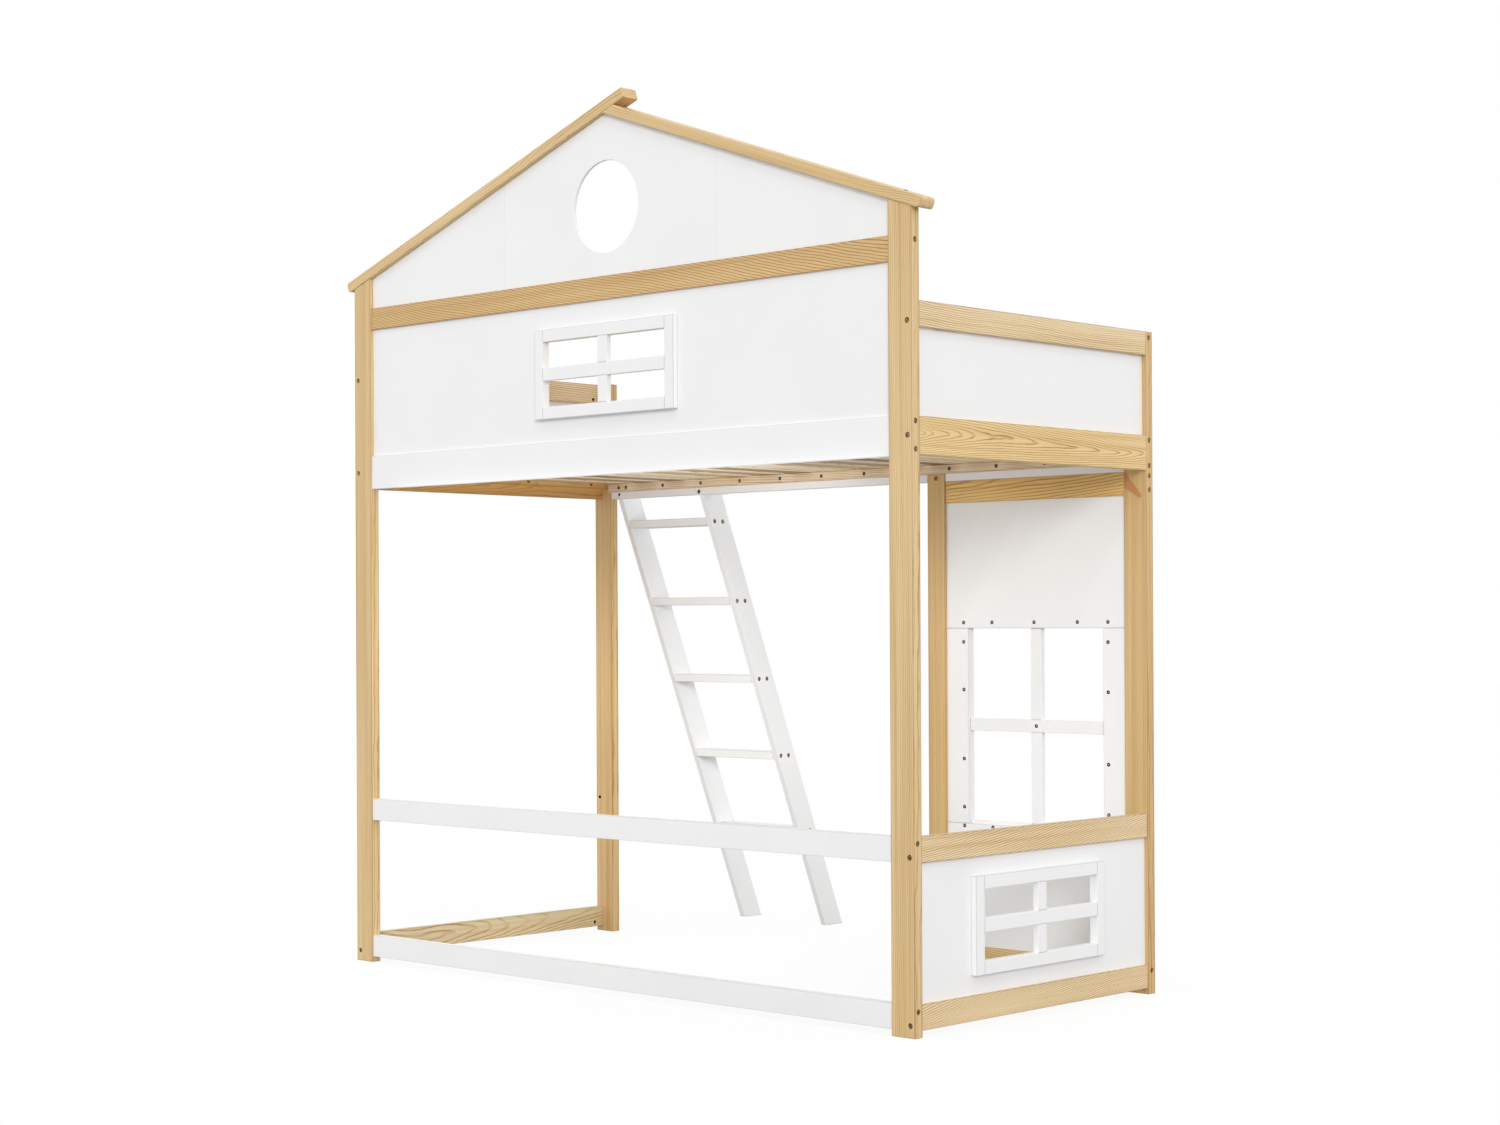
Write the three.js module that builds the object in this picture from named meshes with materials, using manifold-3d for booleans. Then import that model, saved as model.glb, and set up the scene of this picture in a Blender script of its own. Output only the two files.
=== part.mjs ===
// House bunk bed: a pine and white-painted bed frame whose long front side is shaped as a house front.
// Millimetres. X runs along the long side, Y from the house front to the ladder side, Z up from the floor.

import * as THREE from 'three';
import { mergeVertices } from 'three/addons/utils/BufferGeometryUtils.js';
import Module from 'manifold-3d';

const wasm = await Module();
wasm.setup();

// Overall sizes, taken over the corner posts
const bedLength = 2080;
const bedWidth = 978;

// Posts
const postWidth = 70;
const postThickness = 28;
const middlePostWidth = 61;
const wallBayLength = 730;

// Heights of the rail centres above the floor, and of the upper two above the bed rails
const floorRailLevel = 46;
const lowGuardLevel = 437;
const bedRailLevel = 1403;
const topRailRise = 284;
const gableRailRise = 440;

// Rails
const railHeight = 61;
const sideBedRailHeight = 94;
const endBedRailHeight = 90;
const slimRailThickness = 22;
const slimRailSetback = 3;
const sideRailThickness = 20;
const sideRailSetback = 5;
const lapHeight = 21;
const lapThickness = 14;

// Painted panels
const panelThickness = 8;
const panelSetback = 12;
const grooveDepth = 6;
const gableMiddleWidth = 798;

// Roof boards
const roofAngle = THREE.MathUtils.degToRad(19.25);
const roofEaveRise = 91.8;
const roofBoardThickness = 28;
const roofBoardWidth = 54;
const roofBoardProud = 3;
const roofEave = 24;
const roofRidgeRunOn = 88;
const roofEndRadius = 9;

// Windows
const windowWidth = 460;
const windowHeight = 174;
const wallWindowWidth = 450;
const wallWindowHeight = 528;
const wallWindowLevel = 685;
const wallSillDrop = 9;
const windowTrimWidth = 32;
const windowTrimThickness = 16;
const windowBarWidth = 34;
const roundWindowRadius = 121;
const roundWindowLevel = 2055;
const roundWindowSteps = 32;

// Slats and what carries them
const battenWidth = 25;
const battenHeight = 25;
const battenTop = 1402;
const battenEndGap = 10;
const cleatRise = 13;
const slatWidth = 106;
const slatThickness = 18;
const slatCount = 15;
const slatEndGap = 2;

// Ladder
const ladderLean = THREE.MathUtils.degToRad(22);
const ladderPlace = 88;
const ladderWidth = 374;
const stileWidth = 75;
const stileThickness = 18;
const stileHook = 7;
const rungDepth = 68;
const rungThickness = 24;
const firstRungLevel = 307;
const topRungDrop = 79;
const rungCount = 5;

// Guard at the back of the upper bed, from the ladder gap to the right end
const guardPlace = 470;
const guardPostWidth = 60;
const guardPostThickness = 28;

// Bolts: their heads lie in counterbores, and draw the rails up by barrel nuts
const boltHeadRadius = 6.5;
const boltHeadHeight = 4;
const boltHeadSink = 1;
const boltShankRadius = 3;
const nutRadius = 5;
const nutLength = 18;
const nutDistance = 34;
const holeSides = 10;
const longRailBoltRise = 15;
const endRailBoltDrop = 17;
const bedRailBoltSpread = 33;
const wallRailBoltSpread = 18;
const lapBoltRise = 10;
const stileBoltBite = 40;
const rungBoltBite = 32;
const rungBoltSpread = 17.5;
const guardBoltBite = 22;
const guardBoltSpread = 15;
const guardBoltRise = 32;

// Clearances
const seatGap = 0.3;
const drillGap = 0.5;
const cutOverrun = 5;

// Places that follow from the sizes above
const middleX = bedLength / 2;
const middleY = bedWidth / 2;
const innerLeft = postWidth;
const innerRight = bedLength - postWidth;
const innerFront = postThickness;
const innerBack = bedWidth - postThickness;
const middlePostPlace = bedLength - wallBayLength;
const middlePostRight = middlePostPlace + middlePostWidth;
const topRailLevel = bedRailLevel + topRailRise;
const gableRailLevel = bedRailLevel + gableRailRise;
const roofApexHeight = gableRailLevel + roofEaveRise + middleX * Math.tan(roofAngle);
const backPostHeight = topRailLevel + railHeight / 2;
const sideRailInside = sideRailSetback + sideRailThickness;
const slimRailInside = slimRailSetback + slimRailThickness;
const bedRailBottom = bedRailLevel - sideBedRailHeight / 2;
const bedRailTop = bedRailLevel + sideBedRailHeight / 2;
const slatPitch = (innerRight - innerLeft - slatWidth) / (slatCount - 1);
const rungPitch = (bedRailBottom - topRungDrop - firstRungLevel) / (rungCount - 1);
const wallTopRailLevel = bedRailBottom - railHeight / 2;
const panelInside = panelSetback + panelThickness;
const wallPanelFront = bedWidth - panelInside;
const tongue = grooveDepth - seatGap;

// Solids from three.js shapes, and back again
function solidOf(geometry) {
  const bare = geometry.clone();
  bare.deleteAttribute('normal');
  bare.deleteAttribute('uv');
  const merged = mergeVertices(bare);
  const vertProperties = new Float32Array(merged.attributes.position.array);
  const triVerts = new Uint32Array(merged.index.array);
  return new wasm.Manifold(new wasm.Mesh({ numProp: 3, vertProperties, triVerts }));
}

function geometryOf(solid) {
  const mesh = solid.getMesh();
  const geometry = new THREE.BufferGeometry();
  geometry.setAttribute('position', new THREE.BufferAttribute(mesh.vertProperties, 3));
  geometry.setIndex(new THREE.BufferAttribute(mesh.triVerts, 1));
  geometry.computeVertexNormals();
  return geometry;
}

function join(...solids) {
  return solids.reduce((whole, next) => whole.add(next));
}

function cut(solid, ...tools) {
  return tools.reduce((left, tool) => left.subtract(tool), solid);
}

// A planed board between two corners
function board(x0, x1, y0, y1, z0, z1) {
  const geometry = new THREE.BoxGeometry(x1 - x0, y1 - y0, z1 - z0);
  geometry.translate((x0 + x1) / 2, (y0 + y1) / 2, (z0 + z1) / 2);
  return solidOf(geometry);
}

// A flat shape drawn out along one axis: its points are [y, z] along X, and [z, x] along Y
const drawAxes = {
  x: [new THREE.Vector3(0, 1, 0), new THREE.Vector3(0, 0, 1), new THREE.Vector3(1, 0, 0)],
  y: [new THREE.Vector3(0, 0, 1), new THREE.Vector3(1, 0, 0), new THREE.Vector3(0, 1, 0)],
};

function drawn(shape, axis, from, to) {
  const geometry = new THREE.ExtrudeGeometry(shape, { depth: to - from, bevelEnabled: false });
  geometry.translate(0, 0, from);
  geometry.applyMatrix4(new THREE.Matrix4().makeBasis(...drawAxes[axis]));
  return solidOf(geometry);
}

function outline(points) {
  return new THREE.Shape(points.map(([u, v]) => new THREE.Vector2(u, v)));
}

function rectangle(u0, u1, v0, v1) {
  return outline([[u0, v0], [u1, v0], [u1, v1], [u0, v1]]);
}

function openRectangle(shape, u0, u1, v0, v1) {
  const corners = [[u0, v0], [u0, v1], [u1, v1], [u1, v0]];
  shape.holes.push(new THREE.Path(corners.map(([u, v]) => new THREE.Vector2(u, v))));
}

// A round hole of given profile, [radius, depth] from its mouth inwards
function drill(profile, mouth, direction) {
  const points = profile.map(([radius, depth]) => new THREE.Vector2(radius, depth));
  const geometry = new THREE.LatheGeometry(points, holeSides);
  geometry.applyQuaternion(new THREE.Quaternion().setFromUnitVectors(new THREE.Vector3(0, 1, 0), direction));
  geometry.translate(mouth.x, mouth.y, mouth.z);
  return solidOf(geometry);
}

const toRight = new THREE.Vector3(1, 0, 0);
const toLeft = new THREE.Vector3(-1, 0, 0);
const toBack = new THREE.Vector3(0, 1, 0);
const toFront = new THREE.Vector3(0, -1, 0);

// Bolt holes. Each is made once, where its bolt goes, and is then cut from every board that it meets.
const boltHoles = [];

// A counterbore for the head at the face, and a hole for the shank to the given depth
function drillBolt(face, direction, depth) {
  const headHole = boltHeadRadius + drillGap;
  const shankHole = boltShankRadius + drillGap;
  const headSeat = boltHeadSink + boltHeadHeight;
  const profile = [
    [0, -cutOverrun],
    [headHole, -cutOverrun],
    [headHole, headSeat],
    [shankHole, headSeat],
    [shankHole, depth],
    [0, depth],
  ];
  boltHoles.push(drill(profile, face, direction));
}

// A plain hole, for a barrel nut or a bolt that isn't used
function drillPlain(face, direction, radius, depth) {
  const profile = [[0, -cutOverrun], [radius, -cutOverrun], [radius, depth], [0, depth]];
  boltHoles.push(drill(profile, face, direction));
}

function drillNut(face, direction) {
  drillPlain(face, direction, nutRadius + drillGap, nutLength);
}

// A long rail's joint: a bolt along X through the post, and a barrel nut let in from a face of the rail
function drillLongRail(outside, direction, postDepth, boltY, nutY, level) {
  const reach = postDepth + nutDistance;
  drillBolt(new THREE.Vector3(outside, boltY, level), direction, reach);
  drillNut(new THREE.Vector3(outside + direction.x * reach, nutY, level), nutY > boltY ? toFront : toBack);
}

// An end rail's two joints: a bolt along Y through each of the posts at that end
function drillEndRail(end, railInside, level) {
  const x = end === 'left' ? postThickness / 2 : bedLength - postThickness / 2;
  const insideX = end === 'left' ? railInside : bedLength - railInside;
  const inward = end === 'left' ? toLeft : toRight;
  const reach = postThickness + nutDistance;
  drillBolt(new THREE.Vector3(x, 0, level), toBack, reach);
  drillNut(new THREE.Vector3(insideX, reach, level), inward);
  drillBolt(new THREE.Vector3(x, bedWidth, level), toFront, reach);
  drillNut(new THREE.Vector3(insideX, bedWidth - reach, level), inward);
}

function drillFrame() {
  const frontBoltY = postThickness / 2;
  const backBoltY = bedWidth - postThickness / 2;
  const backNutY = bedWidth - sideRailInside;
  const bedRailBolts = [bedRailLevel - bedRailBoltSpread, bedRailLevel + bedRailBoltSpread];
  for (const [outside, direction] of [[0, toRight], [bedLength, toLeft]]) {
    for (const level of [floorRailLevel, lowGuardLevel]) {
      const boltLevel = level + longRailBoltRise;
      drillLongRail(outside, direction, postWidth, frontBoltY, slimRailInside, boltLevel);
    }
    for (const level of [...bedRailBolts, gableRailLevel + longRailBoltRise]) {
      drillLongRail(outside, direction, postWidth, frontBoltY, sideRailInside, level);
    }
    for (const level of bedRailBolts) {
      drillLongRail(outside, direction, postWidth, backBoltY, backNutY, level);
    }
  }
  drillLongRail(bedLength, toLeft, postWidth, backBoltY, backNutY, topRailLevel + longRailBoltRise);
  // The wall rails' nuts are let in from outside, so that the lower bed's side is plain
  const wallNutY = bedWidth - slimRailSetback;
  const wallBolts = [
    floorRailLevel + longRailBoltRise,
    wallTopRailLevel - wallRailBoltSpread,
    wallTopRailLevel + wallRailBoltSpread,
  ];
  for (const level of wallBolts) {
    drillLongRail(bedLength, toLeft, postWidth, backBoltY, wallNutY, level);
    drillLongRail(middlePostPlace, toRight, middlePostWidth, backBoltY, wallNutY, level);
  }
  for (const end of ['left', 'right']) {
    drillEndRail(end, slimRailInside, floorRailLevel - endRailBoltDrop);
    drillEndRail(end, postThickness, bedRailLevel);
    drillEndRail(end, postThickness, topRailLevel - endRailBoltDrop);
  }
  drillEndRail('right', slimRailInside, lowGuardLevel - endRailBoltDrop);
}

// The back left post keeps the hole of a low rail that this side doesn't have
function drillSpareHole() {
  const mouth = new THREE.Vector3(postThickness / 2, innerBack, lowGuardLevel - endRailBoltDrop);
  drillPlain(mouth, toBack, boltShankRadius + drillGap, postThickness + cutOverrun);
}

// Bolts from inside the back bed rail, into the ladder, the lapped middle post and the guard.
// The ladder has one, in its right stile: before the left one, the rail holds its own barrel nut.
function drillBackRail() {
  const insideY = bedWidth - sideRailInside;
  const lowLevel = bedRailBottom + lapBoltRise;
  const rightStile = ladderPlace + ladderWidth - stileThickness / 2;
  drillBolt(new THREE.Vector3(rightStile, insideY, lowLevel), toBack, sideRailThickness + stileBoltBite);
  const lapX = middlePostPlace + middlePostWidth / 2;
  drillBolt(new THREE.Vector3(lapX, innerBack, lowLevel), toBack, postThickness);
  const guardMiddle = guardPlace + guardPostWidth / 2;
  for (const x of [guardMiddle - guardBoltSpread, guardMiddle + guardBoltSpread]) {
    const face = new THREE.Vector3(x, insideY, bedRailLevel + guardBoltRise);
    drillBolt(face, toBack, sideRailThickness + guardBoltBite);
  }
}

// Grooves for the painted panels, in the sides of the posts and in the edges of the rails
function frontGroove(faceX, z0, z1) {
  const y0 = panelSetback - seatGap;
  const y1 = panelInside + seatGap;
  return board(faceX - grooveDepth, faceX + grooveDepth, y0, y1, z0, z1);
}

function wallGroove(faceX) {
  const y0 = wallPanelFront - seatGap;
  const y1 = wallPanelFront + panelThickness + seatGap;
  return board(faceX - grooveDepth, faceX + grooveDepth, y0, y1, floorRailLevel, wallTopRailLevel);
}

function endPanelPlace(end) {
  return end === 'left' ? panelSetback : bedLength - panelInside;
}

function endGroove(end, faceY, z0, z1) {
  const x0 = endPanelPlace(end) - seatGap;
  const x1 = endPanelPlace(end) + panelThickness + seatGap;
  return board(x0, x1, faceY - grooveDepth, faceY + grooveDepth, z0, z1);
}

function longEdgeGroove(x0, x1, panelFront, edge) {
  const y0 = panelFront - seatGap;
  const y1 = panelFront + panelThickness + seatGap;
  return board(x0 - cutOverrun, x1 + cutOverrun, y0, y1, edge - grooveDepth, edge + grooveDepth);
}

function endEdgeGroove(end, edge) {
  const x0 = endPanelPlace(end) - seatGap;
  const x1 = endPanelPlace(end) + panelThickness + seatGap;
  const y0 = innerFront - cutOverrun;
  const y1 = innerBack + cutOverrun;
  return board(x0, x1, y0, y1, edge - grooveDepth, edge + grooveDepth);
}

// The roof's underside, and all the room above it
function roofUnderside(x) {
  return roofApexHeight - Math.abs(x - middleX) * Math.tan(roofAngle);
}

const roofSeat = seatGap / Math.cos(roofAngle);

function roomAboveRoof() {
  const left = -cutOverrun;
  const right = bedLength + cutOverrun;
  const sky = roofApexHeight + cutOverrun;
  const shape = outline([
    [roofUnderside(left) - roofSeat, left],
    [sky, left],
    [sky, right],
    [roofUnderside(right) - roofSeat, right],
    [roofApexHeight - roofSeat, middleX],
  ]);
  return drawn(shape, 'y', -cutOverrun, postThickness + cutOverrun);
}

// Posts: the two at the front run up to the roof
function frontPost(x0, faceX) {
  const blank = board(x0, x0 + postWidth, 0, postThickness, 0, roofApexHeight);
  return cut(blank, frontGroove(faceX, bedRailLevel, roofApexHeight), roomAboveRoof());
}

function frontLeftPost() {
  return cut(frontPost(0, innerLeft), endGroove('left', innerFront, bedRailLevel, topRailLevel));
}

function frontRightPost() {
  return cut(
    frontPost(innerRight, innerRight),
    endGroove('right', innerFront, bedRailLevel, topRailLevel),
    endGroove('right', innerFront, floorRailLevel, lowGuardLevel),
  );
}

function backLeftPost() {
  const post = board(0, postWidth, innerBack, bedWidth, 0, backPostHeight);
  return cut(post, endGroove('left', innerBack, bedRailLevel, topRailLevel));
}

function backRightPost() {
  return cut(
    board(innerRight, bedLength, innerBack, bedWidth, 0, backPostHeight),
    endGroove('right', innerBack, bedRailLevel, topRailLevel),
    endGroove('right', innerBack, floorRailLevel, lowGuardLevel),
    wallGroove(innerRight),
  );
}

// The middle post ends in a thin tongue that is lapped into the back bed rail
function middlePost() {
  const tongueTop = bedRailBottom + lapHeight;
  const shoulder = board(
    middlePostPlace - cutOverrun,
    middlePostRight + cutOverrun,
    innerBack + lapThickness,
    bedWidth + cutOverrun,
    bedRailBottom,
    tongueTop + cutOverrun,
  );
  const blank = board(middlePostPlace, middlePostRight, innerBack, bedWidth, 0, tongueTop);
  return cut(blank, shoulder, wallGroove(middlePostRight));
}

// Rails along X, in the front or the back of the frame
function longRail(side, x0, x1, level, height) {
  const y0 = side === 'front' ? sideRailSetback : bedWidth - sideRailInside;
  return board(x0, x1, y0, y0 + sideRailThickness, level - height / 2, level + height / 2);
}

function slimLongRail(side, x0, x1, level) {
  const y0 = side === 'front' ? slimRailSetback : bedWidth - slimRailInside;
  return board(x0, x1, y0, y0 + slimRailThickness, level - railHeight / 2, level + railHeight / 2);
}

// Rails along Y, between the two posts of one end
function endRail(end, setback, level, height) {
  const x0 = end === 'left' ? setback : bedLength - postThickness + setback;
  const x1 = x0 + postThickness - setback * 2;
  return board(x0, x1, innerFront, innerBack, level - height / 2, level + height / 2);
}

function frontBedRail() {
  const rail = longRail('front', innerLeft, innerRight, bedRailLevel, sideBedRailHeight);
  return cut(rail, longEdgeGroove(innerLeft, innerRight, panelSetback, bedRailTop));
}

function gableRail() {
  const rail = longRail('front', innerLeft, innerRight, gableRailLevel, railHeight);
  const under = longEdgeGroove(innerLeft, innerRight, panelSetback, gableRailLevel - railHeight / 2);
  const above = longEdgeGroove(innerLeft, innerRight, panelSetback, gableRailLevel + railHeight / 2);
  return cut(rail, under, above);
}

function backBedRail() {
  const lapSeat = board(
    middlePostPlace - seatGap,
    middlePostRight + seatGap,
    innerBack - cutOverrun,
    innerBack + lapThickness + seatGap,
    bedRailBottom - cutOverrun,
    bedRailBottom + lapHeight + seatGap,
  );
  return cut(longRail('back', innerLeft, innerRight, bedRailLevel, sideBedRailHeight), lapSeat);
}

function wallTopRail() {
  const edge = wallTopRailLevel - railHeight / 2;
  const groove = longEdgeGroove(middlePostRight, innerRight, wallPanelFront, edge);
  return cut(slimLongRail('back', middlePostRight, innerRight, wallTopRailLevel), groove);
}

function wallFloorRail() {
  const edge = floorRailLevel + railHeight / 2;
  const groove = longEdgeGroove(middlePostRight, innerRight, wallPanelFront, edge);
  return cut(slimLongRail('back', middlePostRight, innerRight, floorRailLevel), groove);
}

function endTopRail(end) {
  const groove = endEdgeGroove(end, topRailLevel - railHeight / 2);
  return cut(endRail(end, 0, topRailLevel, railHeight), groove);
}

// The bed rail of an end carries a cleat on its inner face, level with the top of the slats
function endBedRail(end) {
  const rail = endRail(end, 0, bedRailLevel, endBedRailHeight);
  const cleatTop = battenTop + cleatRise;
  const inRail = postThickness / 2;
  const reach = postThickness + battenWidth;
  const x0 = end === 'left' ? inRail : bedLength - reach;
  const x1 = end === 'left' ? reach : bedLength - inRail;
  const cleat = board(x0, x1, innerFront, innerBack, cleatTop - battenHeight, cleatTop);
  return cut(join(rail, cleat), endEdgeGroove(end, bedRailLevel + endBedRailHeight / 2));
}

function rightGuardRail() {
  const groove = endEdgeGroove('right', lowGuardLevel - railHeight / 2);
  return cut(endRail('right', slimRailSetback, lowGuardLevel, railHeight), groove);
}

function rightFloorRail() {
  const groove = endEdgeGroove('right', floorRailLevel + railHeight / 2);
  return cut(endRail('right', slimRailSetback, floorRailLevel, railHeight), groove);
}

// The guard: a rail level with the end top rails, on a short post outside the bed rail
function backGuard() {
  const postFront = bedWidth - sideRailSetback;
  const postBack = postFront + guardPostThickness;
  const postRight = guardPlace + guardPostWidth;
  const post = board(guardPlace, postRight, postFront, postBack, bedRailBottom, backPostHeight);
  const head = board(
    guardPlace,
    postRight,
    bedWidth - sideRailInside,
    postBack,
    backPostHeight - railHeight,
    backPostHeight,
  );
  return join(longRail('back', guardPlace, innerRight, topRailLevel, railHeight), head, post);
}

// Panels stand with their edges in the grooves, a little short of the groove bottoms
const frontPanelTop = gableRailLevel - railHeight / 2;
const frontWindowLevel = (bedRailTop + frontPanelTop) / 2;

function frontPanel() {
  const left = innerLeft - tongue;
  const right = innerRight + tongue;
  const shape = rectangle(bedRailTop - tongue, frontPanelTop + tongue, left, right);
  openRectangle(
    shape,
    frontWindowLevel - windowHeight / 2,
    frontWindowLevel + windowHeight / 2,
    middleX - windowWidth / 2,
    middleX + windowWidth / 2,
  );
  return drawn(shape, 'y', panelSetback, panelInside);
}

// The gable is filled by three boards, and the middle one has the round window
const gableSeams = [middleX - gableMiddleWidth / 2, middleX + gableMiddleWidth / 2];

function gableShape(x0, x1, ridge) {
  const bottom = gableRailLevel + railHeight / 2 - tongue;
  const under = (x) => [roofUnderside(x) - roofSeat, x];
  return outline([[bottom, x0], under(x0), ...ridge.map(under), under(x1), [bottom, x1]]);
}

function gableLeftBoard() {
  return drawn(gableShape(innerLeft - tongue, gableSeams[0], []), 'y', panelSetback, panelInside);
}

function gableRightBoard() {
  return drawn(gableShape(gableSeams[1], innerRight + tongue, []), 'y', panelSetback, panelInside);
}

function gableMiddleBoard() {
  const shape = gableShape(...gableSeams, [middleX]);
  const round = [];
  for (let step = 0; step < roundWindowSteps; step += 1) {
    const angle = (Math.PI * 2 * step) / roundWindowSteps;
    const z = roundWindowLevel + roundWindowRadius * Math.sin(angle);
    round.push(new THREE.Vector2(z, middleX + roundWindowRadius * Math.cos(angle)));
  }
  shape.holes.push(new THREE.Path(round));
  return drawn(shape, 'y', panelSetback, panelInside);
}

function endUpperPanel(end) {
  const x0 = endPanelPlace(end);
  const z0 = bedRailLevel + endBedRailHeight / 2 - tongue;
  const z1 = topRailLevel - railHeight / 2 + tongue;
  return board(x0, x0 + panelThickness, innerFront - tongue, innerBack + tongue, z0, z1);
}

const rightPanelBottom = floorRailLevel + railHeight / 2;
const rightPanelTop = lowGuardLevel - railHeight / 2;
const rightWindowLevel = (rightPanelBottom + rightPanelTop) / 2;

function rightLowerPanel() {
  const front = innerFront - tongue;
  const back = innerBack + tongue;
  const shape = rectangle(front, back, rightPanelBottom - tongue, rightPanelTop + tongue);
  openRectangle(
    shape,
    middleY - windowWidth / 2,
    middleY + windowWidth / 2,
    rightWindowLevel - windowHeight / 2,
    rightWindowLevel + windowHeight / 2,
  );
  const x0 = endPanelPlace('right');
  return drawn(shape, 'x', x0, x0 + panelThickness);
}

// The back wall of the lower bed is four boards round its window
const wallMiddleX = (middlePostRight + innerRight) / 2;
const wallLeft = middlePostRight - tongue;
const wallRight = innerRight + tongue;
const wallWindowLeft = wallMiddleX - wallWindowWidth / 2;
const wallWindowRight = wallMiddleX + wallWindowWidth / 2;
const wallWindowTop = wallWindowLevel + wallWindowHeight / 2;
const wallSill = wallWindowLevel - wallWindowHeight / 2 - wallSillDrop;

function wallBoard(x0, x1, z0, z1) {
  return board(x0, x1, wallPanelFront, wallPanelFront + panelThickness, z0, z1);
}

function wallTopBoard() {
  return wallBoard(wallLeft, wallRight, wallWindowTop, wallTopRailLevel - railHeight / 2 + tongue);
}

function wallBottomBoard() {
  return wallBoard(wallLeft, wallRight, floorRailLevel + railHeight / 2 - tongue, wallSill);
}

// Windows: a frame of flat trim with a crossbar and an upright bar, which leave four panes.
// One faces the front, the back or an end, and lies between two depths.
function facingBoard(facing, [across0, across1], [up0, up1], [depth0, depth1]) {
  if (facing === 'end') {
    return board(depth0, depth1, across0, across1, up0, up1);
  }
  return board(across0, across1, depth0, depth1, up0, up1);
}

function windowUnit(facing, middle, level, width, height, depth) {
  const edgeAcross = width / 2 + windowTrimWidth;
  const edgeUp = height / 2 + windowTrimWidth;
  const acrossRange = [middle - edgeAcross, middle + edgeAcross];
  const upRange = [level - edgeUp, level + edgeUp];
  const halfBar = windowBarWidth / 2;
  const cutDepth = [depth - cutOverrun, depth + windowTrimThickness + cutOverrun];
  const panes = [];
  for (const acrossPane of [[middle - width / 2, middle - halfBar], [middle + halfBar, middle + width / 2]]) {
    for (const upPane of [[level - height / 2, level - halfBar], [level + halfBar, level + height / 2]]) {
      panes.push(facingBoard(facing, acrossPane, upPane, cutDepth));
    }
  }
  const blank = facingBoard(facing, acrossRange, upRange, [depth, depth + windowTrimThickness]);
  return cut(blank, ...panes);
}

function frontWindow() {
  const depth = panelSetback - windowTrimThickness;
  return windowUnit('front', middleX, frontWindowLevel, windowWidth, windowHeight, depth);
}

function rightWindow() {
  const depth = bedLength - panelSetback;
  return windowUnit('end', middleY, rightWindowLevel, windowWidth, windowHeight, depth);
}

function wallWindow() {
  const depth = wallPanelFront + panelThickness;
  return windowUnit('back', wallMiddleX, wallWindowLevel, wallWindowWidth, wallWindowHeight, depth);
}

// Roof boards, drawn in places measured along the slope from the ridge and up from the underside
function roofPoint(side, along, above) {
  const across = along * Math.cos(roofAngle) + above * Math.sin(roofAngle);
  const z = roofApexHeight - along * Math.sin(roofAngle) + above * Math.cos(roofAngle);
  return [z, middleX + side * across];
}

// The eave end of a roof board, rounded at its upper and lower corner
function roofEnd(side) {
  const length = (middleX + roofEave) / Math.cos(roofAngle);
  const centre = length - roofEndRadius;
  const points = [];
  const upper = roofBoardThickness - roofEndRadius;
  for (const [above, turns] of [[upper, [90, 60, 30, 0]], [roofEndRadius, [0, -30, -60, -90]]]) {
    for (const turn of turns) {
      const angle = THREE.MathUtils.degToRad(turn);
      const along = centre + roofEndRadius * Math.cos(angle);
      points.push(roofPoint(side, along, above + roofEndRadius * Math.sin(angle)));
    }
  }
  return points;
}

function roofBoard(side, ridgeUnder, ridgeTop) {
  const points = [
    roofPoint(side, ridgeTop, roofBoardThickness),
    ...roofEnd(side),
    roofPoint(side, ridgeUnder, 0),
  ];
  return drawn(outline(points), 'y', -roofBoardProud, roofBoardWidth - roofBoardProud);
}

// The left board runs on past the ridge, and the right one is mitred up against its underside
function leftRoofBoard() {
  return roofBoard(-1, -roofRidgeRunOn, -roofRidgeRunOn);
}

function rightRoofBoard() {
  const gapAlong = seatGap / Math.sin(roofAngle * 2);
  return roofBoard(1, gapAlong, gapAlong + roofBoardThickness / Math.tan(roofAngle * 2));
}

// Slats lie across the bed on two battens
function slatBatten(side) {
  const y0 = side === 'front' ? sideRailInside : bedWidth - sideRailInside - battenWidth;
  const x0 = innerLeft + battenEndGap;
  const x1 = innerRight - battenEndGap;
  return board(x0, x1, y0, y0 + battenWidth, battenTop - battenHeight, battenTop);
}

function slat(index) {
  const x0 = middleX + (index - (slatCount - 1) / 2) * slatPitch - slatWidth / 2;
  const y0 = sideRailInside + slatEndGap;
  const y1 = bedWidth - sideRailInside - slatEndGap;
  return board(x0, x0 + slatWidth, y0, y1, battenTop, battenTop + slatThickness);
}

// Ladder: two leaning stiles that hook under the back bed rail, and level rungs between them
const stileSeat = bedWidth - sideRailSetback;
const stileDepth = stileWidth / Math.cos(ladderLean);

function stileFront(z) {
  return stileSeat - stileHook + (bedRailBottom - z) * Math.tan(ladderLean);
}

function ladderStile(x0) {
  const shape = outline([
    [stileFront(0), 0],
    [stileFront(0) + stileDepth, 0],
    [stileFront(bedRailTop) + stileDepth, bedRailTop],
    [stileSeat, bedRailTop],
    [stileSeat, bedRailBottom],
    [stileFront(bedRailBottom), bedRailBottom],
  ]);
  return drawn(shape, 'x', x0, x0 + stileThickness);
}

function rungLevel(index) {
  return firstRungLevel + index * rungPitch;
}

function ladderRung(index) {
  const level = rungLevel(index);
  const y0 = stileFront(level);
  const x0 = ladderPlace + stileThickness;
  const x1 = ladderPlace + ladderWidth - stileThickness;
  return board(x0, x1, y0, y0 + rungDepth, level - rungThickness / 2, level + rungThickness / 2);
}

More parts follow.
